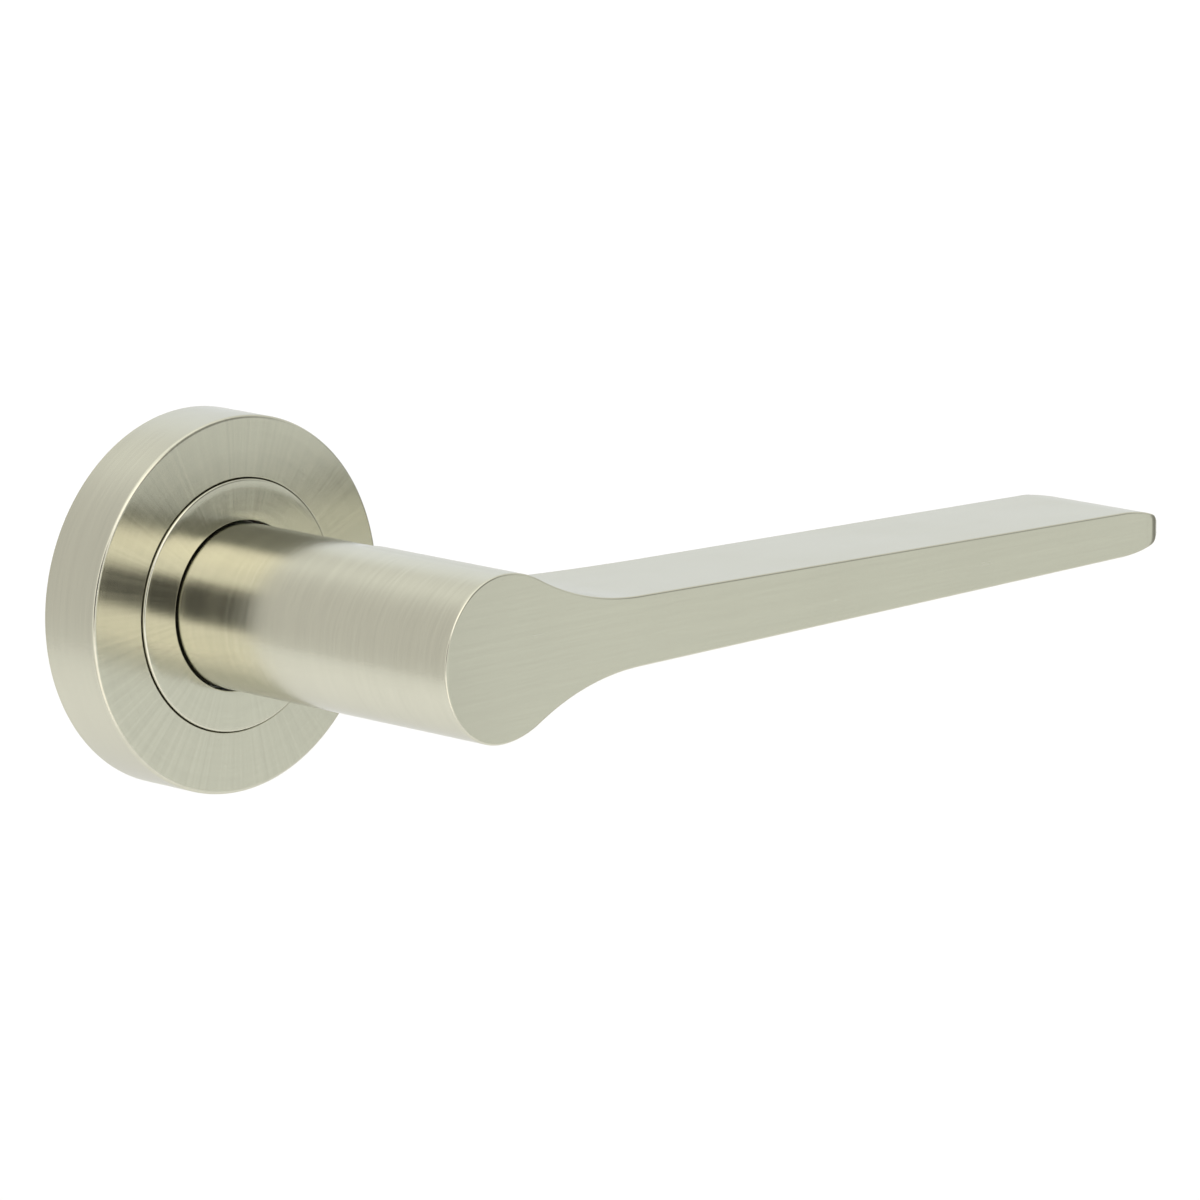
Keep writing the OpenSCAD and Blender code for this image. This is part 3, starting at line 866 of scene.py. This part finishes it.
collar = smooth(lathe("centre_collar_turned", collar_profile(), collar_nickel))
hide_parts("centre_collar")
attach(collar, ROOT)


# ---------------------------------------------------------------- the spring and the spindle

WIRE_R = 0.6
SPRING_R = 13.7
SPRING_LOW = 5.3
SPRING_HIGH = 7.4
SPRING_TURNS = 1.6
SPRING_START_DEG = 20
LEG_BEND_R = 1.0
BEND_STEPS = 8
COIL_STEPS = 200
WIRE_SIDES = 20


def spring_stations():
    """Where the wire runs, on the spring's cylinder unrolled: (arc length, out, heading in degrees)."""
    length = 2 * math.pi * SPRING_R * SPRING_TURNS
    slope = math.degrees(math.atan((SPRING_HIGH - SPRING_LOW) / (length - 2 * LEG_BEND_R)))

    def low_bend(heading):
        a = math.radians(heading)
        along = LEG_BEND_R * (1 - math.sin(a))
        return (along, SPRING_LOW - LEG_BEND_R + LEG_BEND_R * math.cos(a), heading)

    def high_bend(heading):
        a = math.radians(heading)
        along = length - LEG_BEND_R + LEG_BEND_R * math.sin(a)
        return (along, SPRING_HIGH + LEG_BEND_R - LEG_BEND_R * math.cos(a), heading)

    stations = [(0, coil_low[1], 90)]
    stations += [low_bend(90 + (slope - 90) * i / BEND_STEPS) for i in range(BEND_STEPS + 1)]
    first, last = low_bend(slope), high_bend(slope)
    for i in range(1, COIL_STEPS):
        t = i / COIL_STEPS
        stations.append(tuple(p * (1 - t) + q * t for p, q in zip(first, last)))
    stations += [high_bend(slope + (90 - slope) * i / BEND_STEPS) for i in range(BEND_STEPS + 1)]
    stations.append((length, coil_high[1], 90))
    return stations


def spring_wire():
    """The return spring as one round wire, bent in towards a leg at each end."""
    shell = Shell()
    rows = []
    for length, out, heading in spring_stations():
        turn = math.radians(SPRING_START_DEG) + length / SPRING_R
        a = math.radians(heading)
        outward = np.array([math.cos(turn), 0, math.sin(turn)])
        along = np.array([-math.sin(turn), 0, math.cos(turn)])
        across = np.array([0, math.cos(a), 0]) - math.sin(a) * along
        centre = SPRING_R * outward + np.array([0, out, 0])
        row = []
        for k in range(WIRE_SIDES):
            b = 2 * math.pi * k / WIRE_SIDES
            x, o, z = centre + WIRE_R * (math.cos(b) * outward + math.sin(b) * across)
            row.append(shell.point(x, o, z))
        rows.append(row)
    for first, second in zip(rows[:-1], rows[1:]):
        shell.strip(first, second, 0, closed=True)
    shell.face(rows[0])
    shell.face(rows[-1])
    return shell.build("return_spring_wire", [wire_steel])


coil = smooth(spring_wire())
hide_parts("return_spring")
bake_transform(coil)


SPINDLE_EDGE = 0.35
SPINDLE_CHAMFER = 0.8


def spindle_bar():
    """The square bar, with broken edges and a small chamfer at each end."""
    shell = Shell()
    half = spindle_high[0]
    rear, front = spindle_low[1], spindle_high[1]

    def ring(out, inset):
        side = half - inset
        flat = side - SPINDLE_EDGE
        quarter = [(side, -flat), (side, flat)]
        corners = list(quarter)
        for _ in range(3):
            quarter = [(-z, x) for x, z in quarter]
            corners += quarter
        return [shell.point(x, out, z) for x, z in corners]

    rows = [
        ring(rear, SPINDLE_CHAMFER),
        ring(rear + SPINDLE_CHAMFER, 0),
        ring(front - SPINDLE_CHAMFER, 0),
        ring(front, SPINDLE_CHAMFER),
    ]
    for first, second in zip(rows[:-1], rows[1:]):
        shell.strip(first, second, 0, closed=True)
    shell.face(rows[0])
    shell.face(rows[-1])
    return shell.build("spindle_bar", [bar_steel])


spindle = smooth(spindle_bar(), crease_deg=30)
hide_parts("spindle")
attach(spindle, LEVER)


# ---------------------------------------------------------------- CAD pieces that keep their shape

NODE_MATERIALS = {
    "sub_rose": zinc,
    "neck_bush": nylon,
    "rear_bush": nylon,
    "neck_washer": nylon,
    "cassette_plate": plated,
    "cassette_screw_right": plated,
    "cassette_screw_left": plated,
    "stop_pin_upper": plated,
    "stop_pin_lower": plated,
    "drive_plate": plated,
    "retaining_washer": plated,
    "bolt_sleeve_upper": brass,
    "bolt_sleeve_lower": brass,
    "cover_grip_ring": rubber,
    "circlip": oxide,
    "grub_screw": oxide,
}
for node_name, material in NODE_MATERIALS.items():
    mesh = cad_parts[node_name].data
    mesh.materials.clear()
    mesh.materials.append(material)


# ---------------------------------------------------------------- floor, light and camera

# The floor lies square to the camera's direction. The first distances are its edges, and the fades
# are the widths inside those edges over which it thins out.
FLOOR_DROP = 0.25
FLOOR_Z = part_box("rose_cover")[0].z - FLOOR_DROP
FLOOR_NEAR = -0.35
FLOOR_FAR = 3.4
FLOOR_SIDE = 0.9
FLOOR_TURN = math.radians(45)
NEAR_FADE = 0.2
FAR_FADE = 0.6
SIDE_FADE = 0.6
FLOOR_COLOUR = (0.95, 0.955, 0.975)


def pale_floor():
    """A matt white that thins out towards its edges, so that the floor runs into the white room."""
    g = Graph("pale_floor")
    cosine, sine = math.cos(FLOOR_TURN), math.sin(FLOOR_TURN)
    across = g.math("ABSOLUTE", g.vector("DOT_PRODUCT", g.place, (cosine, -sine, 0)))
    along = g.vector("DOT_PRODUCT", g.place, (sine, cosine, 0))
    cloud = g.noise(g.place, 2, 2, 0.5)
    g.colour(g.ramp(cloud, 0, 1), tuple(c * 0.99 for c in FLOOR_COLOUR), FLOOR_COLOUR)
    side_share = g.ramp(across, 1, 0, FLOOR_SIDE - SIDE_FADE, FLOOR_SIDE)
    near_share = g.ramp(along, 0, 1, FLOOR_NEAR, FLOOR_NEAR + NEAR_FADE)
    far_share = g.ramp(along, 1, 0, FLOOR_FAR - FAR_FADE, FLOOR_FAR)
    kept = g.math("MULTIPLY", g.math("MULTIPLY", side_share, near_share), far_share)
    g.link(kept, g.shader.inputs["Alpha"])
    g.set(Roughness=0.8, Specular_IOR_Level=0.2, Emission_Color=(1, 1, 1, 1), Emission_Strength=0.06)
    return g.material


def floor_sheet():
    """One flat sheet, well below the handle, that runs away from the camera."""
    shell = Shell()
    cosine, sine = math.cos(FLOOR_TURN), math.sin(FLOOR_TURN)
    corners = []
    for along, across in (
        (FLOOR_NEAR, -FLOOR_SIDE),
        (FLOOR_NEAR, FLOOR_SIDE),
        (FLOOR_FAR, FLOOR_SIDE),
        (FLOOR_FAR, -FLOOR_SIDE),
    ):
        x = along * sine + across * cosine
        y = along * cosine - across * sine
        corners.append(len(shell.points))
        shell.points.append(Vector((x, y, FLOOR_Z)))
    shell.face(corners)
    return shell.build("floor", [pale_floor()])


floor_sheet()


# The room round the object: a soft white tent. Each line is a direction, the light that comes from
# it, and the two angles from it, in degrees, at which that light starts to fade and is gone. A later
# line lies over the ones before it.
TENT_LIGHT = (0.88, 0.88, 0.85)
TENT_SEEN = (1.1, 1.1, 1.1)
TENT_PARTS = [
    ((0.66, 0.72, 0.15), (1.10, 1.13, 1.16), 15, 38),       # behind, on the right
    ((0.0, 0.0, 1.0), (1.26, 1.26, 1.20), 15, 50),          # overhead
    ((0.69, -0.70, 0.00), (0.84, 0.86, 0.83), 25, 60),      # in front, on the right
    ((0.96, -0.15, -0.15), (0.30, 0.30, 0.28), 10, 30),     # a dark screen past the lever's tip
    ((0.42, -0.76, 0.50), (0.32, 0.32, 0.30), 14, 40),      # a dark screen high on the right
    ((-0.38, -0.69, 0.60), (1.85, 1.77, 1.66), 22, 36),     # a lamp's soft screen above the camera
    ((-0.40, -0.69, -0.60), (1.58, 1.52, 1.45), 18, 34),    # and one below it
    ((-0.70, -0.68, 0.15), (1.60, 1.55, 1.50), 26, 44),     # the light ring round the camera
    ((-0.70, 0.70, 0.30), (0.71, 0.70, 0.67), 10, 50),      # behind, on the left
    ((-0.69, -0.70, 0.12), (0.06, 0.06, 0.06), 14, 26),     # the dark opening for the camera
]


def studio_world():
    """The tent as the world's light, and plain white where the camera sees it."""
    world = bpy.data.worlds.new("studio")
    world.use_nodes = True
    tree = world.node_tree
    background = tree.nodes["Background"]
    place = tree.nodes.new("ShaderNodeTexCoord").outputs["Generated"]

    def mixed(share, first, second):
        """One colour going over to another; first is a socket or a colour."""
        mix = tree.nodes.new("ShaderNodeMix")
        mix.data_type = "RGBA"
        tree.links.new(share, mix.inputs[0])
        if isinstance(first, tuple):
            mix.inputs[6].default_value = (*first, 1)
        else:
            tree.links.new(first, mix.inputs[6])
        mix.inputs[7].default_value = (*second, 1)
        return mix.outputs[2]

    light = TENT_LIGHT
    for direction, colour, full, gone in TENT_PARTS:
        toward = tree.nodes.new("ShaderNodeVectorMath")
        toward.operation = "DOT_PRODUCT"
        toward.inputs[1].default_value = Vector(direction).normalized()
        tree.links.new(place, toward.inputs[0])
        share = tree.nodes.new("ShaderNodeMapRange")
        share.interpolation_type = "SMOOTHSTEP"
        share.inputs["From Min"].default_value = math.cos(math.radians(gone))
        share.inputs["From Max"].default_value = math.cos(math.radians(full))
        tree.links.new(toward.outputs["Value"], share.inputs["Value"])
        light = mixed(share.outputs[0], light, colour)
    seen = tree.nodes.new("ShaderNodeLightPath").outputs["Is Camera Ray"]
    tree.links.new(mixed(seen, light, TENT_SEEN), background.inputs["Color"])
    return world


bpy.context.scene.world = studio_world()
bpy.context.scene.view_settings.view_transform = "Standard"

CAMERA_AZIMUTH = -44.869
CAMERA_ELEVATION = 11.222
CAMERA_DISTANCE = 1.1096
CAMERA_TARGET = (0.04744, -0.03186, -0.00285)
CAMERA_LENS = 241.64


def place_camera():
    data = bpy.data.cameras.new("camera")
    data.lens = CAMERA_LENS
    data.sensor_width = 36
    data.clip_end = 50
    camera = bpy.data.objects.new("camera", data)
    bpy.context.scene.collection.objects.link(camera)
    a, e = math.radians(CAMERA_AZIMUTH), math.radians(CAMERA_ELEVATION)
    away = Vector((math.sin(a) * math.cos(e), -math.cos(a) * math.cos(e), math.sin(e)))
    camera.location = Vector(CAMERA_TARGET) + away * CAMERA_DISTANCE
    camera.rotation_euler = (-away).to_track_quat("-Z", "Y").to_euler()
    bpy.context.scene.camera = camera


place_camera()
